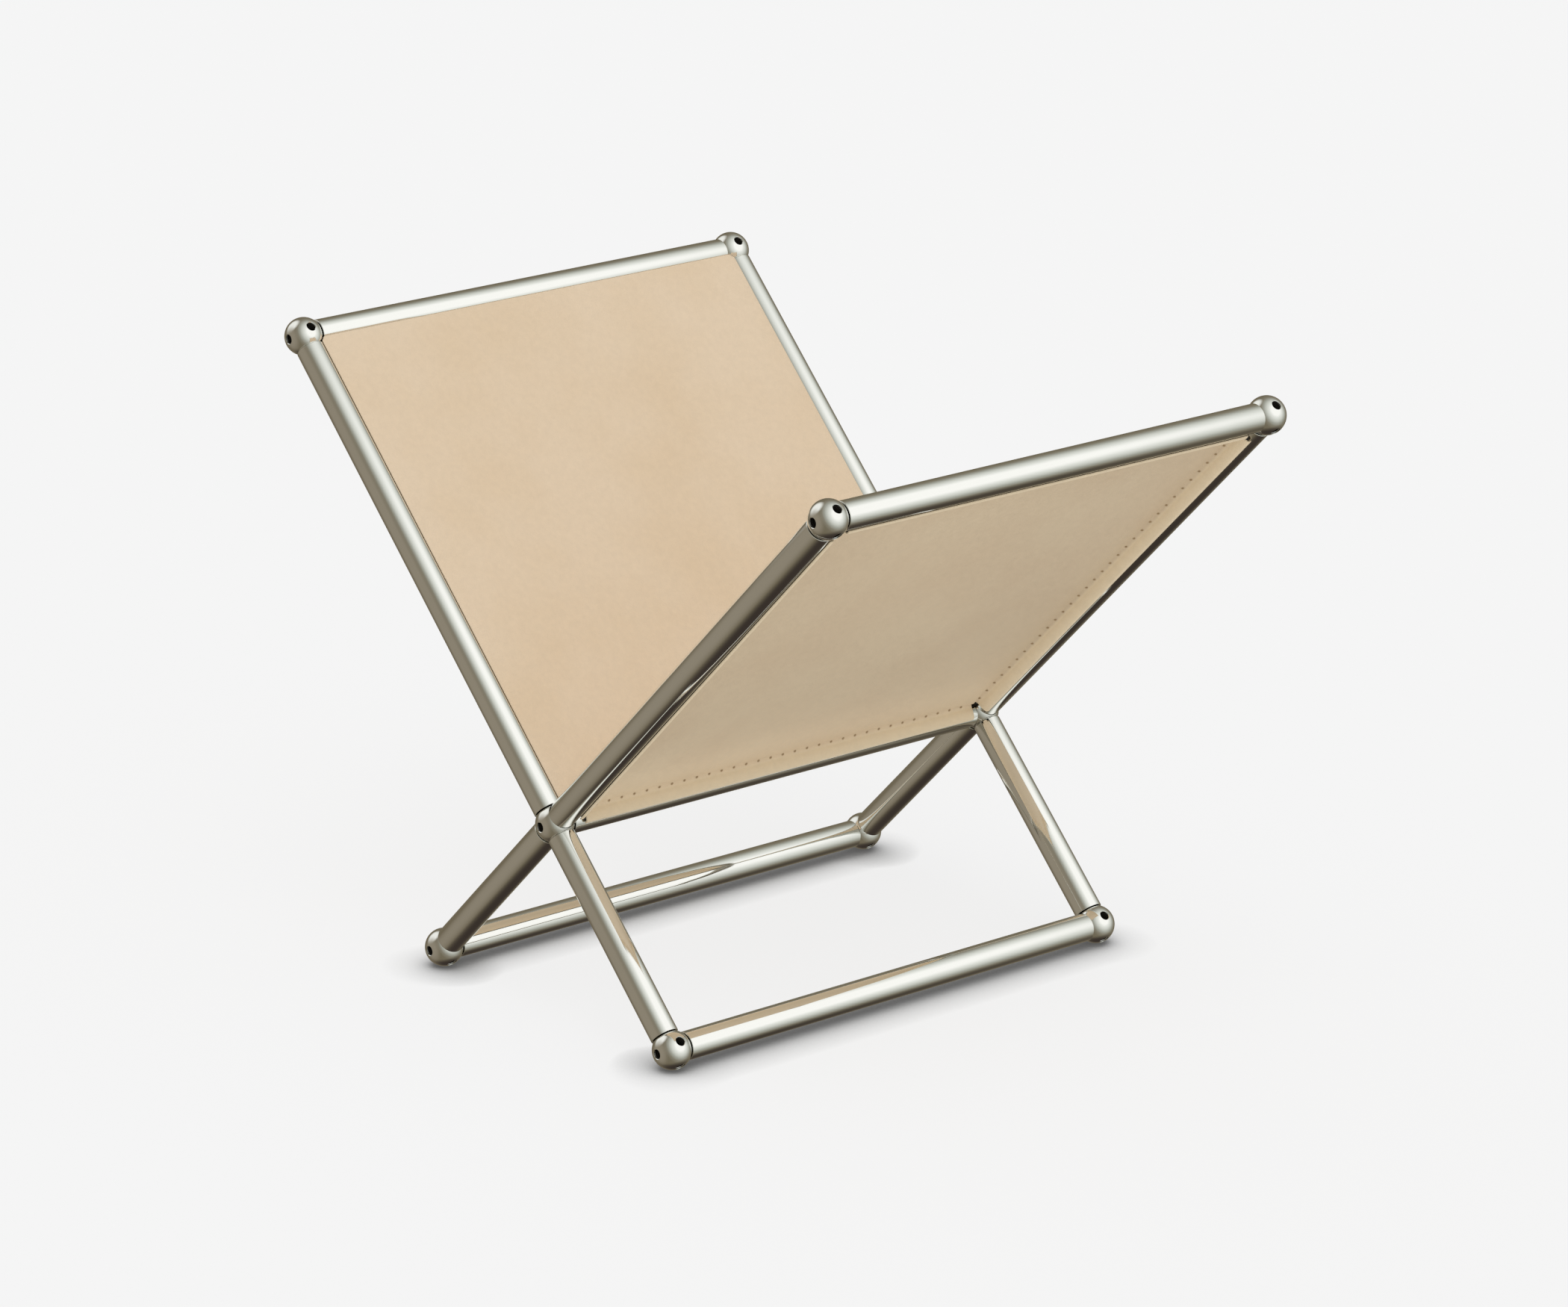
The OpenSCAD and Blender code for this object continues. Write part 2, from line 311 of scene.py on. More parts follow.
panel = {
    "leather": 0.0013,
    "faceHeight": 0.0079,    # inner leather face above the plane of the tube axes
    "lapEdge": 0.0062,       # edge of the inner leather from a tube axis
    "foldEdge": 0.0081,      # the same at the crossing tube
    "ballClearance": 0.0004,
    "edgeDrop": (0.00035, 0.002),  # how far the inner hide's edge sinks, and the metres over which it does
    "crease": (0.0315, 0.004, 0.00016),  # on the left inner face: metres from the back tube, width, depth
    "skive": 0.00005,        # how much thinner the outer hide is
    "rollRadius": 0.011875,  # middle of the outer leather where it rolls round a tube
    "lipTurn": 36,           # degrees that the roll goes on below the plane of the tube axes
    "tuckTurn": 11,          # degrees more over which the lip turns in against the tube
    "tuckIn": 0.0019,
    "notch": 0.0155,         # square notch at each ball, from the tube axes
    "rollEnd": 9,            # degrees below that plane where the roll gives way to the bend at its foot
    "footRadius": 0.0040,    # of that bend
    "fieldSlope": 5,         # degrees at which the hide leaves the bend
    "fieldHeight": 0.00295,  # middle of the outer leather in the field
    "liftFade": 0.016,       # metres over which the hide sinks from there to the board
    "calm": (0.02, 0.03),    # metres from the edges of the inner and outer hide to where it waves fully
    "waveHeight": 0.00009,
    # the long waves of a stretched hide: radians a metre up the arm and along the rack, and the phase
    "waves": [(31.0, 12.0, 0.9), (-17.0, 27.0, 2.1), (44.0, -38.0, 4.0), (9.0, 52.0, 5.2)],
}
seam = {
    "inset": 0.01345,        # from a tube's axis
    "pitch": 0.0100,
    "margin": 0.0075,        # plain end at a notch
    "stitch": (0.0018, 0.0011, 0.0009),  # length, width and depth of one rounded stitch
    "proud": 0.125,          # share of that depth that stands out of the hide
    "grid": (6, 8),          # faces along and round a stitch
}
leatherLook = {
    "pale": "#DDC8AC",       # the inner hide where the light tan is cleanest
    "deep": "#D9C2A3",       # the same hide in its slightly darker patches
    "outerPale": "#E1CBA9",  # the outer hide, tinted warmer as painted light: the warm light bounced up from below
    "outerDeep": "#DCC4A2",
    # painted light and shade up the outer hide: metres up the arm, and the share of its colour that is left
    "paintedLightUpArm": [(0.030, 1.0), (0.045, 0.94), (0.060, 0.885), (0.100, 0.825), (0.180, 0.860), (0.260, 0.880)],
    "paintedBackShade": 0.95,       # painted shade towards the back end
    "paintedBackShadeStart": -0.10,      # metres along the rack where that painted shade begins
    "paintedRollHighlight": "#E2CFAE",  # painted highlight where the hide rolls over a tube
    "hemFade": (0.0002, 0.0030),  # metres beyond the seam over which that painted highlight starts
    "hole": "#8E7249",       # burnished wall of a stitch hole, darkened further as painted shade in the dimple
    "dimple": (0.04, 0.15),  # its radius and its rim's, in stitch pitches
    "patch": 0.09,           # metres between broad patches
    "grain": 0.0013,         # metres between grain cells, three times coarser than real so that they show
    "grainDepth": 0.00035,
    "pore": 0.0045,
    "thread": ("#8A6F4C", "#A68A62"),
    "twist": 1 / 1200,       # metres between the strands of the thread
}


# Painted light and shade on the outer hide: painted light low on the arm that gives way to painted shade
# further up, painted shade towards the back end, and a painted highlight where it is drawn over a roll.
# The distance up the arm is the distance out plus the height above the crossing, times the sine of the lean.
def paintedLightOnHide(tree, place, across, color):
    look = leatherLook
    axes = addNode(tree, "ShaderNodeSeparateXYZ", None, {"Vector": place.outputs["Object"]})
    out = addNode(tree, "ShaderNodeMath", {"operation": "ABSOLUTE"}, {0: axes.outputs["X"]})
    upArm = addNode(tree, "ShaderNodeMath", {"operation": "ADD"}, {0: out.outputs[0], 1: axes.outputs["Z"]})
    share = addNode(tree, "ShaderNodeMapRange", None, {
        "Value": upArm.outputs[0], "From Min": crossHeight,
        "From Max": crossHeight + rack["upperArm"] / lean})
    # painted light low on the arm, giving way to painted shade about a tenth of a metre up
    paintedLightUpArm = addNode(tree, "ShaderNodeValToRGB", None, {"Fac": share.outputs["Result"]})
    paintedLightUpArm.color_ramp.interpolation = "B_SPLINE"
    setRamp(paintedLightUpArm, [(up / rack["upperArm"], (left, left, left, 1.0)) for up, left in look["paintedLightUpArm"]])
    # painted shade towards the back end
    back = addNode(tree, "ShaderNodeMapRange", {"interpolation_type": "SMOOTHSTEP"}, {
        "Value": axes.outputs["Y"], "From Min": look["paintedBackShadeStart"], "From Max": halfLength,
        "To Min": 1.0, "To Max": look["paintedBackShade"]})
    color = addNode(tree, "ShaderNodeVectorMath", {"operation": "MULTIPLY"}, {
        0: color, 1: paintedLightUpArm.outputs["Color"]}).outputs["Vector"]
    color = addNode(tree, "ShaderNodeVectorMath", {"operation": "SCALE"}, {
        "Vector": color, "Scale": back.outputs["Result"]}).outputs["Vector"]
    # painted highlight on the roll of each hem, fading in beyond the seam
    rollHighlightShare = addNode(tree, "ShaderNodeMapRange", {"interpolation_type": "SMOOTHSTEP"}, {
        "Value": across, "From Min": -look["hemFade"][0] / seam["pitch"],
        "From Max": -look["hemFade"][1] / seam["pitch"]})
    return addNode(tree, "ShaderNodeMix", {"data_type": "RGBA"}, {
        0: rollHighlightShare.outputs["Result"], 6: color, 7: linearColor(look["paintedRollHighlight"])}).outputs[2]


# A share that is 1 in the hole under each stitch and falls to 0 at the rim of its dimple.
def stitchHoles(tree, along, across):
    cycle = addNode(tree, "ShaderNodeMath", {"operation": "FRACT"}, {0: along})
    fromMiddle = addNode(tree, "ShaderNodeMath", {"operation": "SUBTRACT"}, {0: cycle.outputs[0], 1: 0.5})
    spot = addNode(tree, "ShaderNodeCombineXYZ", None, {"X": fromMiddle.outputs[0], "Y": across})
    away = addNode(tree, "ShaderNodeVectorMath", {"operation": "LENGTH"}, {0: spot.outputs[0]})
    hole, rim = leatherLook["dimple"]
    return addNode(tree, "ShaderNodeMapRange", {"interpolation_type": "SMOOTHSTEP"}, {
        "Value": away.outputs["Value"], "From Min": hole, "From Max": rim,
        "To Min": 1.0, "To Max": 0.0}).outputs["Result"]


# Vegetable-tanned hide, natural and waxed: an even pale tan with fine pebble grain, a low sheen and soft
# patches. With a seam, the map called seam carries places along and across the stitches, each stitch sits in a
# dimple, and the hide carries painted light and shade: a warmer tint, painted light and shade up the arm and
# towards the back, a painted highlight on the rolls and painted shade in the dimples.
def tannedLeather(name, withSeam):
    look = leatherLook
    # the outer hide takes its warmer colours as painted light bounced up from below
    pale, deep = (look["outerPale"], look["outerDeep"]) if withSeam else (look["pale"], look["deep"])
    material, tree, shader = newMaterial(name, **{
        "IOR": 1.47, "Sheen Weight": 0.12, "Sheen Roughness": 0.5, "Sheen Tint": linearColor("#F3E6D2"),
        "Coat Weight": 0.06, "Coat Roughness": 0.35})
    place = addNode(tree, "ShaderNodeTexCoord")
    patches = addNode(tree, "ShaderNodeTexNoise", None, {
        "Vector": place.outputs["Object"], "Scale": 1 / look["patch"], "Detail": 4.0, "Roughness": 0.55})
    tint = addNode(tree, "ShaderNodeValToRGB", None, {"Fac": patches.outputs["Fac"]})
    setRamp(tint, [(0.30, linearColor(deep)), (0.62, linearColor(pale))])
    color = tint.outputs["Color"]
    if withSeam:
        seamMap = addNode(tree, "ShaderNodeUVMap", {"uv_map": "seam"})
        parts = addNode(tree, "ShaderNodeSeparateXYZ", None, {"Vector": seamMap.outputs["UV"]})
        # painted light and shade on the outer hide
        color = paintedLightOnHide(tree, place, parts.outputs["Y"], color)
    grain = addNode(tree, "ShaderNodeTexVoronoi", {"feature": "SMOOTH_F1"}, {
        "Vector": place.outputs["Object"], "Scale": 1 / look["grain"], "Smoothness": 0.6})
    pore = addNode(tree, "ShaderNodeTexNoise", None, {
        "Vector": place.outputs["Object"], "Scale": 1 / look["pore"], "Detail": 5.0, "Roughness": 0.65})
    speck = addNode(tree, "ShaderNodeMapRange", None, {
        "Value": pore.outputs["Fac"], "From Min": 0.35, "From Max": 0.65, "To Min": 0.97, "To Max": 1.02})
    color = addNode(tree, "ShaderNodeVectorMath", {"operation": "SCALE"}, {
        "Vector": color, "Scale": speck.outputs["Result"]}).outputs["Vector"]
    height = addNode(tree, "ShaderNodeMath", {"operation": "MULTIPLY_ADD"}, {
        0: pore.outputs["Fac"], 1: 0.8, 2: grain.outputs["Distance"]}).outputs[0]
    if withSeam:
        dimple = stitchHoles(tree, parts.outputs["X"], parts.outputs["Y"])
        # each dimple takes the hole colour: its burnished wall and painted shade
        color = addNode(tree, "ShaderNodeMix", {"data_type": "RGBA"}, {
            0: dimple, 6: color, 7: linearColor(look["hole"])}).outputs[2]
        height = addNode(tree, "ShaderNodeMath", {"operation": "MULTIPLY_ADD"}, {
            0: dimple, 1: -4.0, 2: height}).outputs[0]
    tree.links.new(color, shader.inputs["Base Color"])
    bump = addNode(tree, "ShaderNodeBump", None, {
        "Height": height, "Strength": 0.22, "Distance": look["grainDepth"]})
    tree.links.new(bump.outputs["Normal"], shader.inputs["Normal"])
    shine = addNode(tree, "ShaderNodeMapRange", None, {
        "Value": pore.outputs["Fac"], "From Min": 0.3, "From Max": 0.7, "To Min": 0.48, "To Max": 0.62})
    tree.links.new(shine.outputs["Result"], shader.inputs["Roughness"])
    return material


# Waxed thread where it shows between two holes: rounded and a little darker than the hide, with a fine twist.
def waxedThread():
    material, tree, shader = newMaterial("waxedLinenThread", **{"Roughness": 0.5, "Sheen Weight": 0.2})
    place = addNode(tree, "ShaderNodeTexCoord")
    twist = addNode(tree, "ShaderNodeTexNoise", None, {
        "Vector": place.outputs["Object"], "Scale": 1 / leatherLook["twist"], "Detail": 2.0})
    tint = addNode(tree, "ShaderNodeValToRGB", None, {"Fac": twist.outputs["Fac"]})
    setRamp(tint, list(zip((0.3, 0.7), map(linearColor, leatherLook["thread"]))))
    tree.links.new(tint.outputs["Color"], shader.inputs["Base Color"])
    bump = addNode(tree, "ShaderNodeBump", None, {
        "Height": twist.outputs["Fac"], "Strength": 0.4, "Distance": 0.0002})
    tree.links.new(bump.outputs["Normal"], shader.inputs["Normal"])
    return material


plainLeather = tannedLeather("vegetableTannedHide", False)
seamedLeather = tannedLeather("vegetableTannedHideStitched", True)
thread = waxedThread()


# From a panel's own axes (up the arm, along the rack, into the V) to the rack's, on one side.
def onArm(points, side):
    up, along, inward = points[..., 0], points[..., 1], points[..., 2]
    return np.stack([side * (up - inward) * lean, along, crossHeight + (up + inward) * lean], -1)


# A closed sheet of leather about a middle surface. The upper face is middle + normal * thick / 2 and the lower
# is middle - normal * thick / 2. Where thick falls to zero the two faces meet in a rounded edge.
def leatherShell(middle, thick, cells):
    normal = np.cross(np.gradient(middle, axis=0), np.gradient(middle, axis=1))
    normal /= np.linalg.norm(normal, axis=-1, keepdims=True)
    used = np.zeros(thick.shape, bool)
    for a in (0, 1):
        for b in (0, 1):
            used[a:a + cells.shape[0], b:b + cells.shape[1]] |= cells
    rim = used & (thick <= 0)
    upperIndex = np.full(thick.shape, -1)
    upperIndex[used] = np.arange(used.sum())
    lowerIndex = upperIndex.copy()
    inside = used & ~rim
    lowerIndex[inside] = used.sum() + np.arange(inside.sum())
    shift = normal * thick[..., None] / 2
    points = np.concatenate([(middle + shift)[used], (middle - shift)[inside]])
    i, j = np.nonzero(cells)
    upper = np.stack([upperIndex[place] for place in ((i, j), (i + 1, j), (i + 1, j + 1), (i, j + 1))], -1)
    lower = np.stack([lowerIndex[place] for place in ((i, j), (i, j + 1), (i + 1, j + 1), (i + 1, j))], -1)
    return points, np.concatenate([upper, lower]), used, inside


# Thickness that falls to zero at the edge as a half circle does: full * sqrt(1 - (1 - d/r)^2), within the
# distance r = full / 2 of the edge.
def roundedEdge(distance, full):
    near = np.clip(distance / (full / 2), 0, 1)
    return full * np.sqrt(np.clip(1 - (1 - near) ** 2, 0, 1))


# Slow unevenness of a stretched hide, a sum of long waves, in metres.
def hideWaves(up, along, shift):
    return panel["waveHeight"] * sum(np.sin(a * up + b * along + c + shift) for a, b, c in panel["waves"])


# Places within a rounded edge, as shares of its radius.
edgeShares = np.array([0, 0.05, 0.2, 0.5, 1.0])


# Places across a sheet, in metres: dense at both edges, wide apart in the middle.
def spreadPlaces(low, high, edge):
    nearEdge = np.array([0.0016, 0.003, 0.005, 0.008, 0.012, 0.017, 0.023, 0.030, 0.038])
    rest = np.linspace(0.047, (high - low) / 2, 16)
    half = np.concatenate([edgeShares * edge, nearEdge, rest])
    return np.concatenate([low + half, (high - half)[::-1][1:]])


# The smooth inner face: a rectangle whose corners are drawn back round the balls. On a line from a ball's
# centre that meets the rectangle's edge at the distance toEdge, a point at the distance r moves to
# clear + (r - toEdge) * clear / (2 clear - toEdge), as far out as twice the clearance.
def innerLeather(sideName, side):
    half = panel["leather"] / 2
    level = panel["faceHeight"] - half
    up = spreadPlaces(panel["foldEdge"], rack["upperArm"] - panel["lapEdge"], half)
    along = spreadPlaces(panel["lapEdge"] - halfLength, halfLength - panel["lapEdge"], half)
    upGrid, alongGrid = np.meshgrid(up, along, indexing="ij")
    fromEdge = np.minimum.reduce([
        upGrid - up[0], up[-1] - upGrid, alongGrid - along[0], along[-1] - alongGrid])
    clear = np.sqrt((rack["ballRadius"] + panel["ballClearance"]) ** 2 - (level - half) ** 2)
    for ballUp, edgeUp in ((0.0, up[0]), (rack["upperArm"], up[-1])):
        for ballAlong, edgeAlong in ((-halfLength, along[0]), (halfLength, along[-1])):
            du, dv = upGrid - ballUp, alongGrid - ballAlong
            gapU, gapV = abs(edgeUp - ballUp), abs(edgeAlong - ballAlong)
            r = np.hypot(du, dv)
            toEdge = np.where(abs(du) / gapU < abs(dv) / gapV, r * gapU / abs(du), r * gapV / abs(dv))
            moved = clear + (r - toEdge) * clear / (2 * clear - toEdge)
            use = (r < 2 * clear) & (toEdge < clear)
            upGrid = np.where(use, ballUp + du / r * moved, upGrid)
            alongGrid = np.where(use, ballAlong + dv / r * moved, alongGrid)
    height = level + hideWaves(upGrid, alongGrid, side) * np.clip(fromEdge / panel["calm"][0], 0, 1)
    if side < 0:
        inset, width, depth = panel["crease"]
        crease = (alongGrid - (halfLength - inset)) / width
        height = height - depth * np.exp(-crease ** 2)
    drop, dropRun = panel["edgeDrop"]
    height = height - drop * np.exp(-fromEdge / dropRun)
    middle = np.stack([upGrid, alongGrid, height], -1)
    thick = roundedEdge(fromEdge, panel["leather"])
    cells = np.ones((len(up) - 1, len(along) - 1), bool)
    points, quads = leatherShell(middle, thick, cells)[:2]
    if side < 0:
        quads = quads[:, ::-1]
    piece = meshObject(f"{sideName}Panel.innerLeather", onArm(points, side), quads, plainLeather)
    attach(piece, "root")
    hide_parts(f"{sideName}_panel_inner_leather")


# The section of the outer leather, as distance from the tube axis, height and heading. The run is 0 at the
# notch's edge, negative in the hem and positive in the field. It is a lip that turns in over the channel strip,
# an arc of rollRadius about the axis, a gentle bend the other way, and a field that sinks slowly to its height.
# In the lip the radius is rollRadius - tuckIn * part squared. Along the bend the heading h falls, and the place
# moves by footRadius * (sin start - sin h, cos h - cos start). The last three values are the lengths from the
# lip, from the start of the bend and from its end to the notch's edge.
def hemSection(run):
    tuck, rollEnd, slope = (np.radians(panel[k]) for k in ("tuckTurn", "rollEnd", "fieldSlope"))
    lip, start = np.radians(panel["lipTurn"]) + tuck, np.pi / 2 - rollEnd
    roll, foot = panel["rollRadius"], panel["footRadius"]
    rollRun, bendRun = roll * (lip - rollEnd), foot * (start - slope)
    joinRun = panel["notch"] - roll * np.cos(rollEnd) - foot * (np.sin(start) - np.sin(slope))
    reach = rollRun + bendRun + joinRun
    fromLip = run + reach
    rollAngle = np.clip(fromLip / roll, 0, lip - rollEnd) - lip
    heading = start - np.clip((fromLip - rollRun) / foot, 0, start - slope)
    pastBend = np.clip(run + joinRun, 0, None)
    radius = roll - panel["tuckIn"] * np.clip((tuck - lip - rollAngle) / tuck, 0, 1) ** 2
    distance = radius * np.cos(rollAngle) + foot * (np.sin(start) - np.sin(heading)) + pastBend
    height = radius * np.sin(rollAngle) + foot * (np.cos(heading) - np.cos(start))
    footHeight = foot * (np.cos(slope) - np.cos(start)) - roll * np.sin(rollEnd)
    height = height + (panel["fieldHeight"] - footHeight) * (1 - np.exp(-pastBend / panel["liftFade"]))
    return distance, height, heading, (reach, joinRun + bendRun, joinRun)


# Where the seam lies on that section: the run, the height and the heading at its distance from the tube axis.
def seamPlace():
    run = np.linspace(-0.006, 0.002, 400)
    distance, height, heading = hemSection(run)[:3]
    return [float(np.interp(seam["inset"], distance, values)) for values in (run, height, heading)]


# The outer leather's section from tube to tube across a span: the runs to its nearest edge, the places from
# the first tube's axis, the heights, and the number of cells in each hem.
def outerSection(span, full):
    reach, bendStart, bendEnd = hemSection(np.zeros(1))[3]
    hem = np.concatenate([-reach + edgeShares * full / 2,
                          np.linspace(-reach + full, -bendStart - 0.0003, 20),
                          np.linspace(-bendStart, -bendEnd, 16), [-bendEnd / 2]])
    fieldRun = span - 2 * panel["notch"]
    run = np.concatenate([hem, spreadPlaces(0.0, fieldRun, full / 2), fieldRun - hem[::-1]])
    low = run < fieldRun / 2
    near = np.where(low, run, fieldRun - run)
    distance, height = hemSection(near)[:2]
    return near, np.where(low, distance, span - distance), height, len(hem)


# The outer face: a field with four rolled hems, and a square notch at each corner where the balls are.
def outerLeather(sideName, side):
    full = panel["leather"] - panel["skive"]
    reach = hemSection(np.zeros(1))[3][0]
    nearU, up, heightU, hems = outerSection(rack["upperArm"], full)
    nearV, along, heightV, hems = outerSection(rack["length"], full)
    along = along - halfLength
    upGrid, alongGrid = np.meshgrid(up, along, indexing="ij")
    inU, inV = np.meshgrid(nearU, nearV, indexing="ij")
    inField = (inU > 0) & (inV > 0)
    height = np.where(inField, heightU[:, None] + heightV[None, :] - panel["fieldHeight"],
                      np.minimum.outer(heightU, heightV))
    calm = np.clip(np.minimum(inU, inV) / panel["calm"][1], 0, 1)
    height = height + hideWaves(upGrid, alongGrid, 2.0 + side) * calm
    middle = np.stack([upGrid, alongGrid, height], -1)
    corner = np.hypot(np.clip(inU, 0, None), np.clip(inV, 0, None))
    fromEdge = np.where(inU < 0, np.minimum(inV, inU + reach),
                        np.where(inV < 0, np.minimum(inU, inV + reach), corner))
    thick = roundedEdge(np.where(fromEdge < 1e-7, 0, fromEdge), full)
    flaps = [np.zeros(len(line) - 1, bool) for line in (up, along)]
    for flap in flaps:
        flap[:hems] = True
        flap[-hems:] = True
    cells = ~np.logical_and.outer(*flaps)
    points, quads, used, inside = leatherShell(middle, thick, cells)
    # the seam map: places along the nearest hem in stitch pitches, with a stitch in the middle of each, and
    # places across it
    nearestU = inU <= inV
    lengthwise = np.where(nearestU, alongGrid, upGrid - rack["upperArm"] / 2)
    across = np.where(nearestU, inU, inV) - seamPlace()[0]
    seamMap = np.stack([lengthwise / seam["pitch"] + 100.5, across / seam["pitch"]], -1)
    uv = np.concatenate([seamMap[used], seamMap[inside]])
    if side < 0:
        quads = quads[:, ::-1]
    piece = meshObject(f"{sideName}Panel.outerLeather", onArm(points, side), quads, seamedLeather, "seam", uv)
    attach(piece, "root")
    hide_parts(f"{sideName}_panel_outer_leather")


# One rounded stitch about its own middle, as a closed ellipsoid on a grid: half the length times cos p, half
# the width times sin p cos t and half the depth times sin p sin t.
def oneStitch():
    polar = np.linspace(0, np.pi, seam["grid"][0] + 1)[:, None]
    turn = np.linspace(0, 2 * np.pi, seam["grid"][1], endpoint=False)[None, :]
    wide, deep = np.sin(polar) * np.cos(turn), np.sin(polar) * np.sin(turn)
    return np.stack([np.cos(polar) + 0 * turn, wide, deep], -1) * np.array(seam["stitch"]) / 2


# All the stitches of one panel, each placed by an axis along the hem, one across it and one outwards.
def stitches(sideName, side):
    shape = oneStitch()
    height, heading = seamPlace()[1:]
    sunk = panel["leather"] / 2 - seam["stitch"][2] * (0.5 - seam["proud"])
    rows = []
    length, arm = rack["length"], rack["upperArm"]
    for span, other, alongAxis in ((length, arm, 1), (arm, length, 0)):
        count = int((span / 2 - panel["notch"] - seam["margin"]) // seam["pitch"])
        places = np.arange(-count, count + 1) * seam["pitch"]
        for tubeAt, inwardSign in ((0.0, 1), (other, -1)):
            centre = np.zeros((len(places), 3))
            lengthAxis, outAxis = np.zeros(3), np.zeros(3)
            lengthAxis[alongAxis] = 1
            outAxis[1 - alongAxis] = inwardSign * np.sin(heading)
            outAxis[2] = -np.cos(heading)
            acrossAxis = np.cross(outAxis, lengthAxis)
            centre[:, alongAxis] = places + (0 if alongAxis else arm / 2)
            centre[:, 1 - alongAxis] = tubeAt - (0 if alongAxis else halfLength) + inwardSign * seam["inset"]
            centre[:, 2] = height
            centre += outAxis * sunk
            turned = (shape[..., 0, None] * lengthAxis + shape[..., 1, None] * acrossAxis
                      + shape[..., 2, None] * outAxis)
            rows.append(centre[:, None, None, :] + turned[None])
    points = np.concatenate(rows)
    total, steps, around = points.shape[:3]
    i, j = np.meshgrid(np.arange(steps - 1), np.arange(around), indexing="ij")
    nextJ = (j + 1) % around
    quad = np.stack([i * around + j, (i + 1) * around + j, (i + 1) * around + nextJ, i * around + nextJ], -1)
    quads = (quad.reshape(1, -1, 4) + (np.arange(total) * steps * around)[:, None, None]).reshape(-1, 4)
    piece = meshObject(f"{sideName}Panel.stitches", onArm(points.reshape(-1, 3), side), quads, thread)
    work = bmesh.new()
    work.from_mesh(piece.data)
    bmesh.ops.remove_doubles(work, verts=work.verts, dist=1e-7)
    bmesh.ops.recalc_face_normals(work, faces=work.faces)
    work.to_mesh(piece.data)
    work.free()
    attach(piece, "root")
    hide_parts(f"{sideName}_panel_seam_thread")


for sideName, side in sides.items():
    innerLeather(sideName, side)
    outerLeather(sideName, side)
    stitches(sideName, side)
print("scene: leather panels done")

studio = {
    "floor": "#F5F5F5",
    "floorReach": 14.0,        # metres from the middle to an edge of the paper
    "paper": ("#F3F3F3", "#F5F5F5"),
    "fibre": 1 / 300,          # metres between the paper's fibres
    "floorGlow": 0.86,         # share of the floor's brightness that no broad shadow takes away
    # reach in metres of the painted contact shadow under the foot rails, and what it leaves of the floor's glow
    "paintedContactShadow": (0.030, 0.10),
    "window": (0.76, 0.33, 0.56),      # towards the middle of the one big soft window that the chrome shows
    "under": (-0.05, 0.25, -0.967),    # towards the darkest part of the room, under the table
    "underStart": 0.68,        # cosine from there at which the dark begins
    "underColor": "#38312C",
    # what the chrome shows by the angle from the window: the cosine, from -1 to 1, is mapped to 0 to 1
    "inChrome": [(0.0, "#6C6352"), (0.25, "#6E6654"), (0.45, "#716A59"), (0.59, "#827D6F"),
                 (0.705, "#A0A198"), (0.80, "#C4C6BF"), (0.895, "#E1E3DE"), (0.955, "#FBFBF8")],
    # two more glows in the chrome: towards, the cosines between which each grows, its colour and its share
    "glows": [((-0.76, -0.33, 0.56), (0.80, 0.96), "#F4F5F1", 0.9),    # a smaller window, opposite the first
              ((-0.46, -0.87, -0.15), (0.45, 0.95), "#8D8576", 0.9)],   # a pale wall in front
    "mirrorGain": 1.12,
    "fill": 0.80,
    "key": 0.75,
    "keyTravel": (-0.35, 0.30, -1.0),
    "keyAngle": 50,            # degrees across the key, which sets how soft its shadows are
}


# Pale seamless paper, mostly its own even glow so that broad shadows on it are faint, with a painted contact
# shadow under the rails from an occlusion node.
def seamlessPaper():
    material, tree, shader = newMaterial("seamlessPaper", **{"Roughness": 0.9, "Specular IOR Level": 0.0})
    place = addNode(tree, "ShaderNodeTexCoord")
    fibre = addNode(tree, "ShaderNodeTexNoise", None, {
        "Vector": place.outputs["Object"], "Scale": 1 / studio["fibre"], "Detail": 2.0})
    tint = addNode(tree, "ShaderNodeValToRGB", None, {"Fac": fibre.outputs["Fac"]})
    setRamp(tint, list(zip((0.3, 0.7), map(linearColor, studio["paper"]))))
    tree.links.new(tint.outputs["Color"], shader.inputs["Base Color"])
    reach, least = studio["paintedContactShadow"]
    # painted contact shadow: the occlusion dims the floor's glow close under the rails
    near = addNode(tree, "ShaderNodeAmbientOcclusion", {"samples": 8}, {"Distance": reach})
    light = addNode(tree, "ShaderNodeMapRange", None, {
        "Value": near.outputs["AO"], "From Min": 0.35, "To Min": least})
    glow = addNode(tree, "ShaderNodeEmission", None, {
        "Color": linearColor(studio["floor"]), "Strength": light.outputs["Result"]})
    mix = addNode(tree, "ShaderNodeMixShader", None, {
        0: studio["floorGlow"], 1: shader.outputs[0], 2: glow.outputs[0]})
    out = next(n for n in tree.nodes if n.type == "OUTPUT_MATERIAL")
    tree.links.new(mix.outputs[0], out.inputs["Surface"])
    return material


def paperFloor():
    corners = np.array([[-1, -1, 0], [1, -1, 0], [1, 1, 0], [-1, 1, 0]]) * studio["floorReach"]
    floor = meshObject("paperFloor", corners, np.array([[0, 1, 2, 3]]), seamlessPaper())
    floor.visible_glossy = False


# The cosine of the angle between the way a ray goes in the world and a fixed direction.
def towards(tree, place, direction):
    return addNode(tree, "ShaderNodeVectorMath", {"operation": "DOT_PRODUCT"}, {
        0: place.outputs["Generated"], 1: direction}).outputs["Value"]


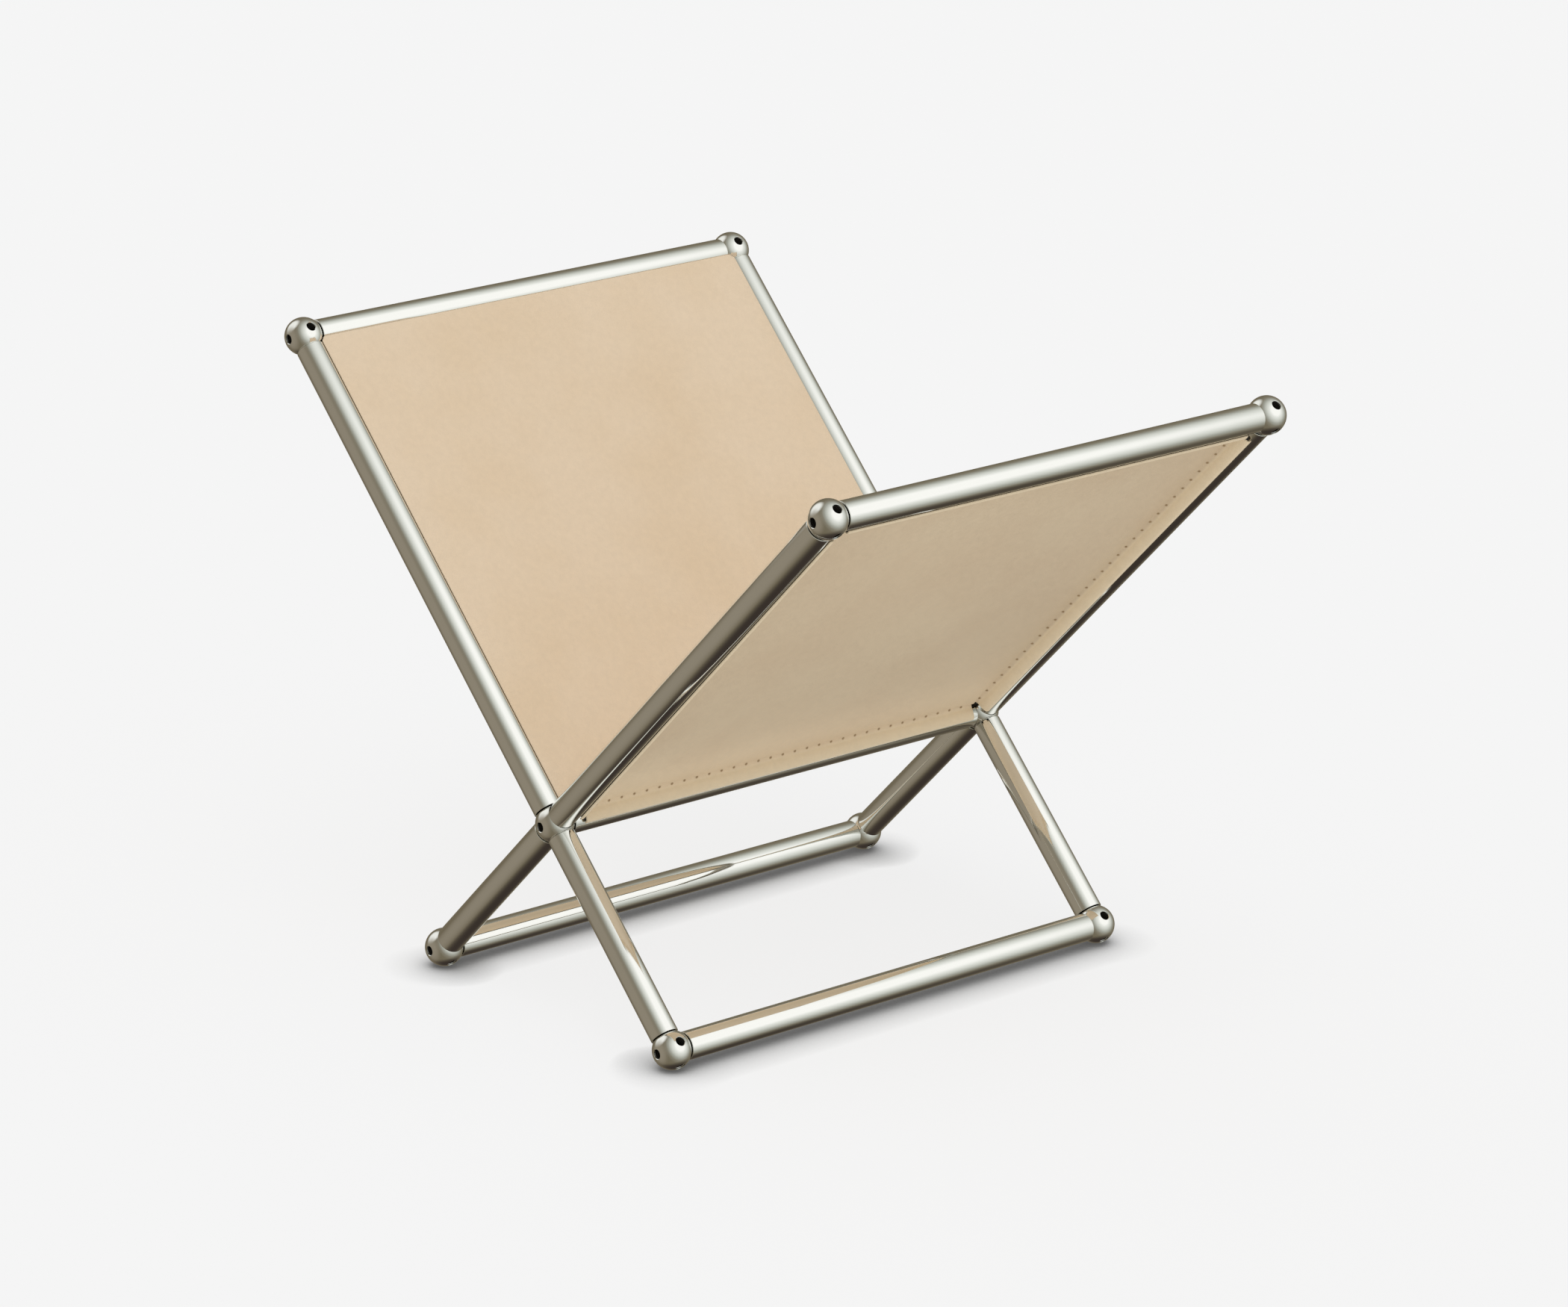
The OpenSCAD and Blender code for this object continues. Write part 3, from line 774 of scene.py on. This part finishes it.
# The room that the chrome shows: one big soft window high on the right, dim warm walls, the dark under the
# table, and two more glows.
def mirroredRoom(tree):
    place = addNode(tree, "ShaderNodeTexCoord")
    share = addNode(tree, "ShaderNodeMath", {"operation": "MULTIPLY_ADD"}, {
        0: towards(tree, place, studio["window"]), 1: 0.5, 2: 0.5})
    window = addNode(tree, "ShaderNodeValToRGB", None, {"Fac": share.outputs[0]})
    setRamp(window, [(at, linearColor(color)) for at, color in studio["inChrome"]])
    shade = addNode(tree, "ShaderNodeMapRange", {"interpolation_type": "SMOOTHSTEP"}, {
        "Value": towards(tree, place, studio["under"]), "From Min": studio["underStart"], "From Max": 1.0})
    mirrored = addNode(tree, "ShaderNodeMix", {"data_type": "RGBA"}, {
        0: shade.outputs["Result"], 6: window.outputs["Color"],
        7: linearColor(studio["underColor"])}).outputs[2]
    for centre, cosines, color, most in studio["glows"]:
        glow = addNode(tree, "ShaderNodeMapRange", {"interpolation_type": "SMOOTHSTEP"}, {
            "Value": towards(tree, place, centre), "From Min": cosines[0], "From Max": cosines[1],
            "To Max": most})
        mirrored = addNode(tree, "ShaderNodeMix", {"data_type": "RGBA"}, {
            0: glow.outputs["Result"], 6: mirrored, 7: linearColor(color)}).outputs[2]
    return mirrored


# The world: an even white fill, the mirrored room for the chrome, and the floor's colour behind everything.
def softWorld():
    world = bpy.data.worlds.new("softStudio")
    bpy.context.scene.world = world
    world.use_nodes = True
    tree = world.node_tree
    tree.nodes.clear()
    inChrome = addNode(tree, "ShaderNodeBackground", None, {
        "Color": mirroredRoom(tree), "Strength": studio["mirrorGain"]})
    room = addNode(tree, "ShaderNodeBackground", None, {
        "Color": linearColor("#FFFFFF"), "Strength": studio["fill"]})
    seen = addNode(tree, "ShaderNodeBackground", None, {
        "Color": linearColor(studio["floor"]), "Strength": 1.0})
    path = addNode(tree, "ShaderNodeLightPath")
    lit = addNode(tree, "ShaderNodeMixShader", None, {
        0: path.outputs["Is Glossy Ray"], 1: room.outputs[0], 2: inChrome.outputs[0]})
    shown = addNode(tree, "ShaderNodeMixShader", None, {
        0: path.outputs["Is Camera Ray"], 1: lit.outputs[0], 2: seen.outputs[0]})
    addNode(tree, "ShaderNodeOutputWorld", None, {"Surface": shown.outputs[0]})


# A broad soft key from above the front, a little to the right.
def softKey():
    light = bpy.data.lights.new("softKey", "SUN")
    light.energy = studio["key"]
    light.angle = np.radians(studio["keyAngle"])
    key = bpy.data.objects.new("softKey", light)
    key.rotation_euler = Vector(studio["keyTravel"]).to_track_quat("-Z", "Y").to_euler()
    key.visible_glossy = False
    bpy.context.scene.collection.objects.link(key)


# The camera: its place in metres, the ways its right, down and forward point, its lens and sensor in
# millimetres.
view = {
    "place": (2.964, -2.4898, 1.459),
    "right": (0.642688, 0.766095, 0.007114),
    "down": (0.241095, -0.193427, -0.951031),
    "forward": (-0.727204, 0.612931, -0.309015),
    "lens": 148.6,
    "sensor": 36.0,
    "farthest": 60.0,
}


def viewCamera():
    camera = bpy.data.cameras.new("view")
    camera.sensor_width = view["sensor"]
    camera.lens = view["lens"]
    camera.clip_end = view["farthest"]
    made = bpy.data.objects.new("view", camera)
    right, down, forward = (Vector(view[k]).normalized() for k in ("right", "down", "forward"))
    turned = Matrix((right, -down, -forward)).transposed()
    made.matrix_world = Matrix.Translation(view["place"]) @ turned.to_4x4()
    bpy.context.scene.collection.objects.link(made)
    bpy.context.scene.camera = made


paperFloor()
softWorld()
softKey()
viewCamera()
bpy.context.scene.view_settings.view_transform = "Standard"
print("scene: floor, light and camera done")
